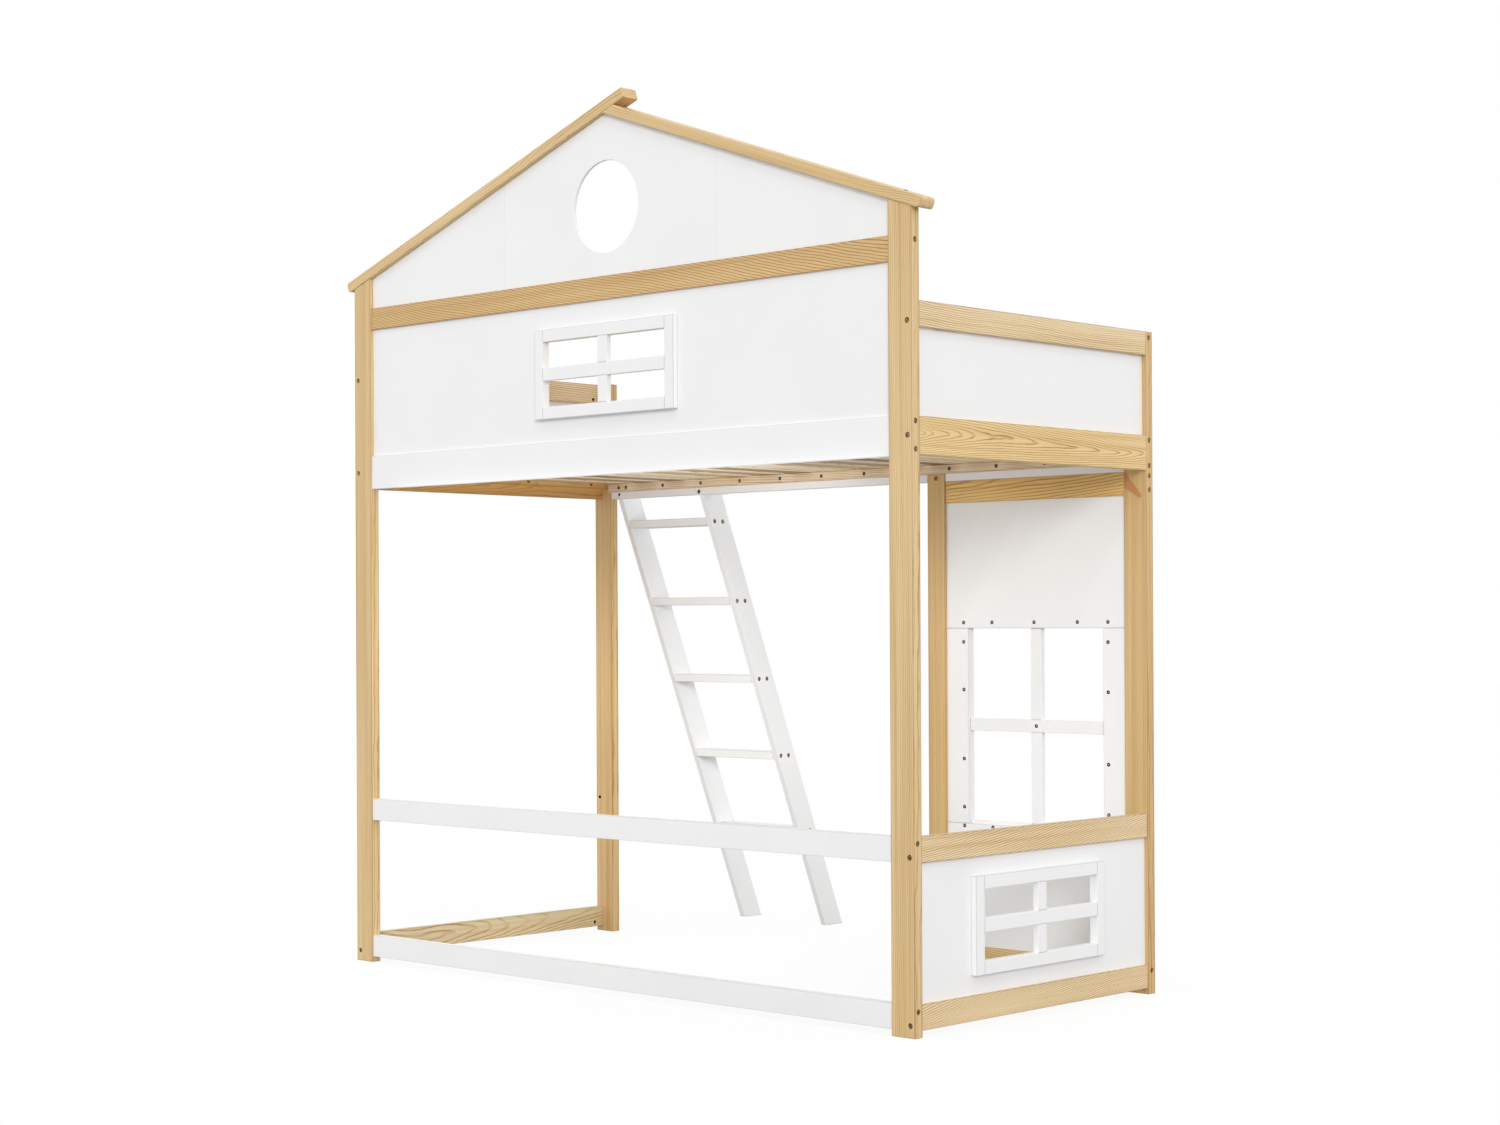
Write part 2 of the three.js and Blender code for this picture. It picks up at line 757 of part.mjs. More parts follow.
function drillRungs() {
  for (let index = 0; index < rungCount; index += 1) {
    const rungMiddle = stileFront(rungLevel(index)) + rungDepth / 2;
    for (const y of [rungMiddle - rungBoltSpread, rungMiddle + rungBoltSpread]) {
      const depth = stileThickness + rungBoltBite;
      drillBolt(new THREE.Vector3(ladderPlace, y, rungLevel(index)), toRight, depth);
      drillBolt(new THREE.Vector3(ladderPlace + ladderWidth, y, rungLevel(index)), toLeft, depth);
    }
  }
}

drillFrame();
drillSpareHole();
drillBackRail();
drillRungs();
const allBoltHoles = join(...boltHoles);

// Assembly: the origin is on the floor, in the middle of all that stands on it
const bed = new THREE.Group();
const frontEdge = Math.min(-roofBoardProud, panelSetback - windowTrimThickness);
const backEdge = stileFront(0) + stileDepth;
bed.position.set(-middleX, -(frontEdge + backEdge) / 2, 0);

function place(name, solid, colour, roughness) {
  const material = new THREE.MeshStandardMaterial({ color: colour, roughness, metalness: 0 });
  const mesh = new THREE.Mesh(geometryOf(cut(solid, allBoltHoles)), material);
  mesh.name = name;
  bed.add(mesh);
}

function placePine(name, solid) {
  place(name, solid, 0xd8b883, 0.55);
}

function placeWhite(name, solid) {
  place(name, solid, 0xf0f0f0, 0.45);
}

placePine('post_front_left', frontLeftPost());
placePine('post_front_right', frontRightPost());
placePine('post_back_left', backLeftPost());
placePine('post_back_right', backRightPost());
placePine('post_back_middle', middlePost());

placePine('roof_board_left', leftRoofBoard());
placePine('roof_board_right', rightRoofBoard());
placePine('gable_rail', gableRail());
placeWhite('gable_panel_left', gableLeftBoard());
placeWhite('gable_panel_middle', gableMiddleBoard());
placeWhite('gable_panel_right', gableRightBoard());

placeWhite('front_panel', frontPanel());
placeWhite('front_window', frontWindow());
placeWhite('front_bed_rail', frontBedRail());
placeWhite('front_guard_rail', slimLongRail('front', innerLeft, innerRight, lowGuardLevel));
placeWhite('front_floor_rail', slimLongRail('front', innerLeft, innerRight, floorRailLevel));

for (const end of ['left', 'right']) {
  placePine(`${end}_top_rail`, endTopRail(end));
  placeWhite(`${end}_upper_panel`, endUpperPanel(end));
  placePine(`${end}_bed_rail`, endBedRail(end));
}
placePine('left_floor_rail', endRail('left', slimRailSetback, floorRailLevel, railHeight));
placePine('right_guard_rail', rightGuardRail());
placeWhite('right_lower_panel', rightLowerPanel());
placeWhite('right_window', rightWindow());
placePine('right_floor_rail', rightFloorRail());

placeWhite('back_bed_rail', backBedRail());
placeWhite('back_guard', backGuard());
placePine('wall_top_rail', wallTopRail());
placeWhite('wall_panel_top', wallTopBoard());
placeWhite('wall_panel_left', wallBoard(wallLeft, wallWindowLeft, wallSill, wallWindowTop));
placeWhite('wall_panel_right', wallBoard(wallWindowRight, wallRight, wallSill, wallWindowTop));
placeWhite('wall_panel_bottom', wallBottomBoard());
placeWhite('wall_window', wallWindow());
placePine('wall_floor_rail', wallFloorRail());

placePine('slat_batten_front', slatBatten('front'));
placePine('slat_batten_back', slatBatten('back'));
for (let index = 0; index < slatCount; index += 1) {
  placePine(`slat_${index + 1}`, slat(index));
}

placeWhite('ladder_stile_left', ladderStile(ladderPlace));
placeWhite('ladder_stile_right', ladderStile(ladderPlace + ladderWidth - stileThickness));
for (let index = 0; index < rungCount; index += 1) {
  placeWhite(`ladder_rung_${index + 1}`, ladderRung(index));
}

export default bed;
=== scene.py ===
import math
import random
import bmesh
import bpy
from mathutils import Matrix, Vector


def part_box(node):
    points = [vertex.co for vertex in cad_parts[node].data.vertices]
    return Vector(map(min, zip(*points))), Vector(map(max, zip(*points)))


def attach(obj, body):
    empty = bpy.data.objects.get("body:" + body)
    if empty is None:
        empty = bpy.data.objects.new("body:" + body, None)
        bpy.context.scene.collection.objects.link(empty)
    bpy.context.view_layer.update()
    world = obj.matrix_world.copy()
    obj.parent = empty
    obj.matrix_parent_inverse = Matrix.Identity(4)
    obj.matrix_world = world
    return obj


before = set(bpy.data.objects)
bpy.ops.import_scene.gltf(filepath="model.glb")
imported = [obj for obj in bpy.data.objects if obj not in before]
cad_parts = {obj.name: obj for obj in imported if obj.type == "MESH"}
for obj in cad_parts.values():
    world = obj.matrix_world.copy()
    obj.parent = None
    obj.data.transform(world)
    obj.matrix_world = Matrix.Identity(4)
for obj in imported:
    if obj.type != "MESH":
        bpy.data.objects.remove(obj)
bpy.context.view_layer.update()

camera_place = Vector((4.793, -5.336, 0.971))
camera_heading = math.radians(43.667)
camera_tilt = math.radians(90.163)
camera_roll = math.radians(0.274)
lens_length = 60.79
film_width = 36
bpy.ops.object.camera_add(location=camera_place, rotation=(camera_tilt, camera_roll, camera_heading))
camera = bpy.context.object
camera.data.lens = lens_length
camera.data.sensor_width = film_width
camera.data.shift_x = 0.0122
camera.data.shift_y = 0.0345
bpy.context.scene.camera = camera


# Studio: a wide white floor under an even white sky, with a soft low lamp beside the camera,
# a weak one above it and three soft boxes in the lower room. The camera sees floor and sky
# as white paper, and the floor keeps a faint shadow.
class Wire:
    """A socket of a material's nodes. Sums and products of wires add the Math nodes that work them out."""

    def __init__(self, tree, socket=None):
        self.tree = tree
        self.socket = socket

    def node(self, kind, settings, values, output=0):
        made = self.tree.nodes.new("ShaderNode" + kind)
        for name, setting in settings.items():
            setattr(made, name, setting)
        for name, value in values.items():
            self.feed(made.inputs[name], value)
        return Wire(self.tree, made.outputs[output])

    def feed(self, target, value):
        if isinstance(value, Wire):
            self.tree.links.new(value.socket, target)
        else:
            target.default_value = value

    def math(self, operation, *terms):
        return self.node("Math", {"operation": operation}, dict(enumerate(terms)))

    def __add__(self, other):
        return self.math("ADD", self, other)

    def __sub__(self, other):
        return self.math("SUBTRACT", self, other)

    def __rsub__(self, other):
        return self.math("SUBTRACT", other, self)

    def __mul__(self, other):
        return self.math("MULTIPLY", self, other)

    def __truediv__(self, other):
        return self.math("DIVIDE", self, other)

    def __rtruediv__(self, other):
        return self.math("DIVIDE", other, self)

    def __pow__(self, other):
        return self.math("POWER", self, other)

    __radd__ = __add__
    __rmul__ = __mul__


def most(first, second):
    """The greater of two values."""
    return first.math("MAXIMUM", first, second)


def least(first, second):
    """The smaller of two values."""
    return first.math("MINIMUM", first, second)


floor_size = 60
floor_white = (0.95, 0.95, 0.95, 1)
floor_bounce = (0.46, 0.46, 0.46, 1)
floor_paper = 0.90
paper_white = (1, 1, 1, 1)
bpy.ops.mesh.primitive_plane_add(size=floor_size)
floor = bpy.context.object
floor.name = "studio_floor"
floor.data.materials.append(bpy.data.materials.new("studio_floor"))
floor.active_material.use_nodes = True
ground = Wire(floor.active_material.node_tree)
eye = ground.node("LightPath", {}, {}, "Is Camera Ray")
paper = ground.node("Emission", {}, {"Color": paper_white, "Strength": 1.0})
shadowed = ground.node("BsdfDiffuse", {}, {"Color": floor_white})
bounced = ground.node("BsdfDiffuse", {}, {"Color": floor_bounce})
shown = ground.node("MixShader", {}, {0: floor_paper, 1: shadowed, 2: paper})
whole = ground.node("MixShader", {}, {0: eye, 1: bounced, 2: shown})
ground.feed(ground.tree.nodes["Material Output"].inputs["Surface"], whole)

sky_light = 0.90
world = bpy.data.worlds.new("studio")
bpy.context.scene.world = world
world.use_nodes = True
air = Wire(world.node_tree)
eye = air.node("LightPath", {}, {}, "Is Camera Ray")
mirror = air.node("LightPath", {}, {}, "Is Glossy Ray")
glass = air.node("LightPath", {}, {}, "Is Transmission Ray")
seen = most(eye, most(mirror, glass))
air.feed(world.node_tree.nodes["Background"].inputs["Strength"], seen * (1 - sky_light) + sky_light)
air.feed(world.node_tree.nodes["Background"].inputs["Color"], paper_white)

lamp_distance = 4
box_white = (0.93, 0.97, 1.0)


def lamp(name, source, strength, softness):
    """A distant soft lamp that shines from a direction towards the bed."""
    bpy.ops.object.light_add(type="SUN", location=source * lamp_distance)
    made = bpy.context.object
    made.name = name
    made.rotation_euler = (-source).to_track_quat("-Z", "Y").to_euler()
    made.data.energy = strength
    made.data.angle = math.radians(softness)


def soft_box(name, place, turn, size, power):
    """A soft box that lights the lower room and that the camera doesn't see."""
    bpy.ops.object.light_add(type="AREA", location=place, rotation=[math.radians(angle) for angle in turn])
    made = bpy.context.object
    made.name = name
    made.data.shape = "RECTANGLE"
    made.data.size, made.data.size_y = size
    made.data.energy = power
    made.data.color = box_white
    made.visible_camera = False
    made.visible_glossy = False


lamp("lamp_above", source=Vector((0.50, -0.45, 0.85)), strength=0.25, softness=5)
lamp("lamp_front", source=Vector((0.70, -0.71, 0.26)), strength=1.20, softness=18)
soft_box("lamp_room", place=(0.05, -0.74, 1.10), turn=(106, 0, 0), size=(1.8, 0.5), power=2.7)
soft_box("lamp_end", place=(0.08, -0.40, 0.95), turn=(0, 90, -15), size=(0.6, 0.3), power=3.5)
soft_box("lamp_low", place=(0.74, -0.56, 0.46), turn=(90, 0, 0), size=(0.40, 0.3), power=0.30)

bpy.context.scene.view_settings.view_transform = "Standard"


# Posts: planed pine under a clear satin lacquer, two tall at the front with their tops cut to
# the roof's slope, three shorter at the back. The grain runs straight up them, and the back
# right one has a diagonal orange streak of painted shade on its inner face, just under the bed rail.
def tone(red, green, blue):
    """A colour read as eight-bit values, as Blender's linear one."""
    return (*(((level / 255 + 0.055) / 1.055) ** 2.4 for level in (red, green, blue)), 1)


def blend(share, first, second):
    """A mix of two colours."""
    return share.node("Mix", {"data_type": "RGBA"}, {0: share, 6: first, 7: second}, 2)


def ramp(value, start, end, curve="LINEAR"):
    """A value that runs from nought at its start to one at its end."""
    ends = {"Value": value, "From Min": start, "From Max": end}
    return value.node("MapRange", {"interpolation_type": curve}, ends)


def noise(spot, scale, detail):
    """A cloudy value about one half."""
    return spot.node("TexNoise", {}, {"Vector": spot, "Scale": scale, "Detail": detail})


def vectors(operation, first, second, output=0):
    """A sum or product of two vectors. Output 1 is the plain number that some of them give."""
    return first.node("VectorMath", {"operation": operation}, {0: first, 1: second}, output)


def reading(spot, way):
    """A spot's place along one of its three ways."""
    return spot.node("SeparateXYZ", {}, {0: spot}, way)


def off_centre(spot, centre, way):
    """How far a spot lies from a board's centre along one way."""
    return spot.math("ABSOLUTE", reading(spot, way) - centre[way])


def edge_shade_mask(spot, low, high, width):
    """A mask that is one along the edges of a board's box, for painted shade along its edges and joints."""
    size = (high - low) / 2
    centre = (high + low) / 2
    gaps = [size[way] - off_centre(spot, centre, way) for way in range(3)]
    second = most(least(gaps[0], gaps[1]), least(most(gaps[0], gaps[1]), gaps[2]))
    return ramp(second, width, width / 3)


streak_taper = 0.7


def from_streak(spot, start, end, size):
    """How many sizes a spot lies from the line of a painted shade streak, which tapers from its start to its
    end.
    """
    start, end = Vector(start), Vector(end)
    run = end - start
    offset = vectors("SUBTRACT", spot, start)
    share = vectors("DOT_PRODUCT", offset, run / run.length_squared, 1)
    share = least(most(share, 0.0), 1.0)
    nearest = share.node("VectorMath", {"operation": "SCALE"}, {0: run, "Scale": share})
    return vectors("DISTANCE", offset, nearest, 1) / ((1 - share * streak_taper) * size)


pine_tones = (tone(228, 201, 152), tone(212, 180, 126))
amber_tones = (tone(220, 188, 134), tone(202, 168, 112))
pine_line = tone(172, 124, 66)
knot_and_shade_brown = tone(134, 82, 44)
streak_orange = tone(206, 140, 78)
pine_gloss = 0.46
pine_relief = 0.0006
pine_edge_shade_width = 0.0022
seed_step = Vector((1.37, 0.73, 2.11))
ring_pitch = 0.0052
ring_waver = 0.0050
ring_ripple = 0.0014
ring_starts = (0.60, 0.90)
ring_stops = (0.90, 1.0)
knot_spacing = 0.16
knot_rim = 0.0060
knot_core = 0.0030
knot_ripple = 0.003
knot_pull = 0.014
knot_bend = 0.010
streak_pull = 1.6
streak_rings = 3.0


def pine(name, along, across, pith, seed, rise=0.04, slant=0.0, wander=0.036, knots=0.08, tones=pine_tones,
         bold=0.9, pitch=ring_pitch, highlight=None, under=None, shade_streaks=()):
    """Lacquered pine: growth rings about a pith line near the board, opened by the saw as stripes or arches.

    Pith is the line's place across and through the board, from the board's middle. Rise and slant tilt the
    rings along the board and wander bends them. Knots is the share of places for a knot that have one.
    """
    low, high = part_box(name)
    material = bpy.data.materials.new("pine_" + name)
    material.use_nodes = True
    wood = Wire(material.node_tree)
    thick = along.cross(across)
    turn = Matrix((along, across, thick))
    spot = wood.node("TexCoord", {}, {}, "Object")
    # Painted shade: a thin dark line along every edge of the board.
    painted_edge_shade = edge_shade_mask(spot, low, high, pine_edge_shade_width)
    far = [from_streak(spot, *shade_streak) for shade_streak in shade_streaks]
    shift_back = -(turn @ ((low + high) / 2))
    spot = wood.node("Mapping", {}, {"Vector": spot, "Rotation": turn.to_euler(), "Location": shift_back})
    own = vectors("ADD", spot, seed_step * seed)

    def grain(stretch, width, detail=2.0, shift=0.0):
        """A noise drawn out along the board, from -0.5 to 0.5."""
        scaled = vectors("MULTIPLY", own, (stretch, width, width))
        return noise(vectors("ADD", scaled, (shift, shift, shift)), 1.0, detail) - 0.5

    cell = {"Vector": vectors("MULTIPLY", own, (1, 1, 0)), "Scale": 1 / knot_spacing, "Randomness": 0.9}
    reach = wood.node("TexVoronoi", {}, cell, "Distance") * knot_spacing
    lot = wood.node("SeparateColor", {}, {0: wood.node("TexVoronoi", {}, cell, "Color")})
    chosen = wood.math("LESS_THAN", lot, knots)
    ripple = grain(38, 150)
    swirl = chosen / (1 + (reach / knot_pull) ** 2)
    knot = chosen * ramp(reach + ripple * knot_ripple, knot_rim, knot_core)
    streak_cores = []
    # Painted shade: a diagonal orange streak with rings, drawn the way a spike knot would look.
    for away in far:
        swirl = swirl + 1 / (1 + (away / streak_pull) ** 2.0)
        streak_core = ramp(away + ripple * 0.4, 1.0, 0.9)
        vein = ramp(wood.math("FRACT", away * streak_rings), 0.60, 0.95)
        knot = most(knot, streak_core * vein * 0.8)
        streak_cores.append(streak_core)

    span = reading(spot, 0)
    breadth = reading(spot, 1)
    depth = reading(spot, 2)
    side = breadth - pith[0] - span * slant + grain(2.1, 0.5, 0.0) * (wander * 1.2)
    deep = depth - pith[1] + grain(3.2, 0.5, 0.0, 7.3) * wander
    radius = (side ** 2.0 + deep ** 2.0) ** 0.5
    waver = grain(10, 44, 1.0) * ring_waver + ripple * ring_ripple + swirl * knot_bend
    phase = wood.math("FRACT", (radius + span * rise + waver) / pitch)
    early = ramp(phase, *ring_starts, "SMOOTHSTEP")
    late = ramp(phase, *ring_stops, "SMOOTHSTEP")
    band = grain(2.0, 16.0, 1.0) * 1.6 + 0.75
    tip = least(wood.math("ABSOLUTE", side) / radius * 1.8 + 0.30, 1.0)
    line = early * (1 - late) * tip * most(band, 0.25)
    fibre = grain(14, 420)
    streak = grain(0.9, 95, 2.0, 3.1)
    patch = grain(1.6, 9.0) * 1.2 + streak * 2.2 + 0.5

    base = blend(patch, *tones)
    for streak_core in streak_cores:
        base = blend(streak_core * 0.75, base, streak_orange)
    # Slats only: painted shade over the underside and a painted highlight along one side.
    if highlight:
        base = blend(ramp(depth, *underside_shade_depths) * (streak * 2.0 + 0.8), base, under)
        outer = breadth + (highlight_width - (high - low).dot(across) / 2) + ripple * highlight_ripple
        base = blend(ramp(outer, 0.0, highlight_fade), base, highlight)
    drawn = line * bold + fibre * 0.35 + most(streak * 1.1 - 0.08, 0.0)
    lined = blend(drawn, base, pine_line)
    # Knots, the painted shade streak and the painted edge shade all darken towards one brown.
    knots_and_shade = most(knot * 0.85 + swirl * 0.14, painted_edge_shade * 0.42)
    relief = line * 0.4 + fibre * 0.6 - knot * 0.5
    bump = wood.node("Bump", {}, {"Height": relief, "Strength": 0.25, "Distance": pine_relief})
    finish = material.node_tree.nodes["Principled BSDF"]
    wood.feed(finish.inputs["Base Color"], blend(knots_and_shade, lined, knot_and_shade_brown))
    wood.feed(finish.inputs["Roughness"], pine_gloss - line * 0.08 + fibre * 0.12)
    wood.feed(finish.inputs["Normal"], bump)
    return material


sanded_edge = 0.0018
weld_gap = 0.00002
flat_angle = math.radians(1)
edge_angle = math.radians(35)


def ease(node, width):
    """Rounds a board's sawn edges as sandpaper does."""
    weld = node.modifiers.new("weld", "WELD")
    weld.merge_threshold = weld_gap
    flat = node.modifiers.new("flat", "DECIMATE")
    flat.decimate_type = "DISSOLVE"
    flat.angle_limit = flat_angle
    bevel = node.modifiers.new("ease", "BEVEL")
    bevel.width = width
    bevel.segments = 2
    bevel.limit_method = "ANGLE"
    bevel.angle_limit = edge_angle


def dress(name, material, width=sanded_edge):
    """Gives a packed board its finish and eased edges."""
    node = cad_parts[name]
    node.data.materials.clear()
    node.data.materials.append(material)
    ease(node, width)


x_way, y_way, z_way = Vector((1, 0, 0)), Vector((0, 1, 0)), Vector((0, 0, 1))
straight_pith = {
    "post_front_left": (0.105, 0.030),
    "post_front_right": (-0.120, 0.045),
    "post_back_left": (-0.100, 0.025),
    "post_back_right": (0.130, -0.035),
    "post_back_middle": (0.095, 0.040),
}
# The back right post's painted shade streak: its start, its end and its size.
streak_start = (0.958, 0.155, 1.346)
streak_end = (1.018, 0.155, 1.293)
streak_size = 0.020
post_shade_streaks = {"post_back_right": ((streak_start, streak_end, streak_size),)}
for seed, (name, pith) in enumerate(straight_pith.items()):
    tones = amber_tones if "back" in name else pine_tones
    planed = pine(name, z_way, x_way, pith, seed, rise=0.003, wander=0.006, knots=0.0, tones=tones, bold=0.85,
                  shade_streaks=post_shade_streaks.get(name, ()))
    dress(name, planed)

# End rails: planed pine rails bolted between the front and back posts at each end, with a
# cleat screwed inside each of the two bed rails. Flat sawn, so the grain arches.
sap_tones = (tone(238, 217, 180), tone(224, 198, 150))
honey_tones = (tone(238, 211, 156), tone(226, 194, 132))
rich_tones = (tone(212, 168, 102), tone(188, 142, 80))
shade_tones = (tone(220, 203, 169), tone(206, 185, 141))
# The place of each rail's pith, the rise and slant of its rings, and its tones.
end_grain = {
    "left_top_rail": ((0.060, 0.050), 0.02, 0.10, sap_tones),
    "left_bed_rail": ((-0.010, 0.050), 0.04, 0.0, rich_tones),
    "left_floor_rail": ((0.020, 0.060), 0.05, 0.04, shade_tones),
    "right_top_rail": ((0.110, 0.045), 0.02, -0.05, sap_tones),
    "right_bed_rail": ((0.006, 0.034), 0.06, 0.0, honey_tones),
    "right_guard_rail": ((0.130, 0.045), 0.02, 0.12, sap_tones),
    "right_floor_rail": ((0.130, 0.045), 0.02, 0.14, sap_tones),
}
for seed, (name, (pith, rise, slant, tones)) in enumerate(end_grain.items(), 6):
    dress(name, pine(name, y_way, z_way, pith, seed, rise, slant, tones=tones, bold=1.4))

# White boards: panels, rails and trims under two rolled coats of satin white paint, which
# leaves a fine stipple and lets the grain of the rails show through very faintly.
paint_white = tone(242, 242, 242)
paint_grey = tone(236, 236, 237)
edge_shade_grey = tone(150, 148, 146)
paint_gloss = 0.42
paint_relief = 0.0004
paint_edge_shade_width = 0.0020
fibres_along = 9
fibres_across = 260
stipple_scale = 420.0
cloud_scale = 3.5
rub_scale = 28.0
panel_grain = 0.06
trim_grain = 0.3
rail_grain = 0.5
panel_edge = 0.0010
trim_width = 0.032
bar_width = 0.034
joint_width = 0.0016
joint_shade = 0.55


def trim_joints(spot, low, high, ways):
    """A window's butt joints: full stiles, rails and crossbar between them, upright bars in halves."""
    size = (high - low) / 2
    centre = (high + low) / 2
    flat, tall = ways
    beside = off_centre(spot, centre, flat)
    above = off_centre(spot, centre, tall)
    bar = bar_width / 2

    def joint(value, place):
        return ramp(value.math("ABSOLUTE", value - place), joint_width, joint_width / 3)

    stile = joint(beside, size[flat] - trim_width)
    rail = spot.math("GREATER_THAN", above, size[tall] - trim_width)
    cross = spot.math("LESS_THAN", above, bar)
    upright = spot.math("LESS_THAN", beside, bar)
    ends = most(joint(above, bar), joint(above, size[tall] - trim_width))
    return most(stile * most(rail, cross), ends * upright)


def white(name, along, seed, grain_depth, joints=None, rim=0.45):
    """Satin white paint with a roller's stipple over drawn-out grain, hairline joints and painted shade along
    the edges.
    """
    low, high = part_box(name)
    material = bpy.data.materials.new("white_" + name)
    material.use_nodes = True
    paint = Wire(material.node_tree)
    spot = paint.node("TexCoord", {}, {}, "Object")
    own = vectors("ADD", spot, seed_step * seed)
    across = Vector((1, 1, 1)) - along
    fibre = noise(vectors("MULTIPLY", own, along * fibres_along + across * fibres_across), 1.0, 2.0) - 0.5
    stipple = noise(own, stipple_scale, 1.0) - 0.5
    cloud = noise(own, cloud_scale, 3.0) - 0.5
    rub = noise(own, rub_scale, 4.0) - 0.5
    # Painted shade: a grey line along every edge of the board, together with the trims' joints.
    edge_shade_and_joints = edge_shade_mask(spot, low, high, paint_edge_shade_width) * rim
    if joints:
        edge_shade_and_joints = most(edge_shade_and_joints, trim_joints(spot, low, high, joints) * joint_shade)
    colour = blend(cloud * 1.3 + fibre * grain_depth + 0.3, paint_white, paint_grey)
    relief = stipple * 0.7 + fibre * grain_depth - edge_shade_and_joints * 2.0
    bump = paint.node("Bump", {}, {"Height": relief, "Strength": 0.22, "Distance": paint_relief})
    finish = material.node_tree.nodes["Principled BSDF"]
    paint.feed(finish.inputs["Base Color"], blend(edge_shade_and_joints, colour, edge_shade_grey))
    paint.feed(finish.inputs["Roughness"], paint_gloss + rub * 0.22 + stipple * 0.08)
    paint.feed(finish.inputs["Normal"], bump)
    return material


for seed, name in enumerate(("left_upper_panel", "right_upper_panel", "right_lower_panel")):
    dress(name, white(name, y_way, seed, panel_grain), panel_edge)

# House front: a clear pine gable rail over a white panel, three white gable boards with
# the round window in the middle one, and three white rails down to the floor.
gable_wood = pine("gable_rail", x_way, z_way, pith=(0.300, 0.050), seed=14, rise=0.03, slant=-0.26,
                  tones=amber_tones, bold=1.9, pitch=0.0072)
dress("gable_rail", gable_wood)
front_boards = ("gable_panel_left", "gable_panel_middle", "gable_panel_right", "front_panel")
for seed, name in enumerate(front_boards, 4):
    dress(name, white(name, x_way, seed, panel_grain, rim=0.12), panel_edge)
for seed, name in enumerate(("front_bed_rail", "front_guard_rail", "front_floor_rail"), 9):
    dress(name, white(name, x_way, seed, rail_grain, rim=0.25))

# Back: a white bed rail and a white guard, which leaves the ladder's gap beside it, and below
# them a wall of four white boards let into two pine rails and the posts on either side.
ochre_tones = (tone(243, 207, 134), tone(219, 177, 105))
wall_edge = 0.0016
for seed, name in enumerate(("back_bed_rail", "back_guard"), 13):
    dress(name, white(name, x_way, seed, rail_grain))
wall_boards = ("wall_panel_top", "wall_panel_left", "wall_panel_right", "wall_panel_bottom")
for seed, name in enumerate(wall_boards, 16):
    dress(name, white(name, x_way, seed, panel_grain), wall_edge)
ochre_wood = pine("wall_top_rail", x_way, z_way, pith=(0.040, 0.040), seed=21, rise=0.03, slant=0.02,
                  tones=ochre_tones, bold=1.4, pitch=0.0075)
dress("wall_top_rail", ochre_wood)
dress("wall_floor_rail", pine("wall_floor_rail", x_way, z_way, pith=(-0.030, 0.045), seed=22, rise=0.05))

# Windows: butted strips of white trim screwed round each opening, with a crossbar and an
# upright bar in two halves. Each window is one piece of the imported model.
window_ways = {"front_window": (0, 2), "right_window": (1, 2), "wall_window": (0, 2)}
for seed, (name, ways) in enumerate(window_ways.items(), 24):
    dress(name, white(name, z_way, seed, trim_grain, ways), panel_edge)

# Slats: fifteen sawn pine boards laid across the bed on a batten along each side rail. Each
# has its own figure, a painted highlight along one side where it would catch light from above,
# and painted shade underneath in one of four tones, from dark to pale.
raw_tones = (tone(232, 212, 184), tone(214, 191, 160))
gold_tones = (tone(222, 190, 136), tone(200, 164, 106))
brown_tones = (tone(200, 160, 106), tone(168, 124, 72))
# A painted highlight for the slats' lit side, and painted shade tones for their undersides.
slat_highlight = tone(252, 240, 212)
slat_underside_shades = (tone(122, 84, 40), tone(160, 120, 66), tone(202, 166, 112), tone(244, 226, 188))
underside_shade_depths = (0.0080, 0.0088)  # from the slat's middle, its underside being at 9 mm
highlight_width = 0.0250
highlight_ripple = 0.004
highlight_fade = 0.0010
first_shade = 2
next_shade = 7
batten_pith = {"slat_batten_front": (0.050, 0.040), "slat_batten_back": (-0.045, 0.050)}
for seed, (name, pith) in enumerate(batten_pith.items(), 30):
    dress(name, pine(name, x_way, z_way, pith, seed, rise=0.02, tones=raw_tones))
slat_names = sorted((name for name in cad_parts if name.startswith("slat_") and "batten" not in name),
                    key=lambda name: int(name.split("_")[1]))
chance = random.Random(7)
for number, name in enumerate(slat_names):
    pith = (chance.uniform(-0.05, 0.05), chance.uniform(0.03, 0.09))
    slat_tones = chance.choice((gold_tones, brown_tones, pine_tones))
    shade = slat_underside_shades[(first_shade + number * next_shade) % len(slat_underside_shades)]
    sawn = pine(name, y_way, x_way, pith, seed=40 + number, rise=0.05, knots=0.14, tones=slat_tones,
                highlight=slat_highlight, under=shade)
    dress(name, sawn)

# Ladder: two white stiles leaning back against the rail, with five deep white treads
# bolted between them from outside.
tread_names = [f"ladder_rung_{number}" for number in range(1, 6)]
for seed, name in enumerate(("ladder_stile_left", "ladder_stile_right"), 60):
    dress(name, white(name, z_way, seed, rail_grain))
for seed, name in enumerate(tread_names, 63):
    dress(name, white(name, x_way, seed, rail_grain))

# Roof: two pine boards laid flat along the gable's slopes and screwed down to the front
# posts. The left one runs on past the ridge and laps the right one, with rounded ends.
roof_pitch = math.radians(19.25)
for seed, (name, side) in enumerate((("roof_board_left", 1), ("roof_board_right", -1)), 70):
    slope = Vector((math.cos(roof_pitch), 0, side * math.sin(roof_pitch)))
    dress(name, pine(name, slope, y_way, pith=(0.030 * side, 0.045), seed=seed, rise=0.02, slant=0.03))

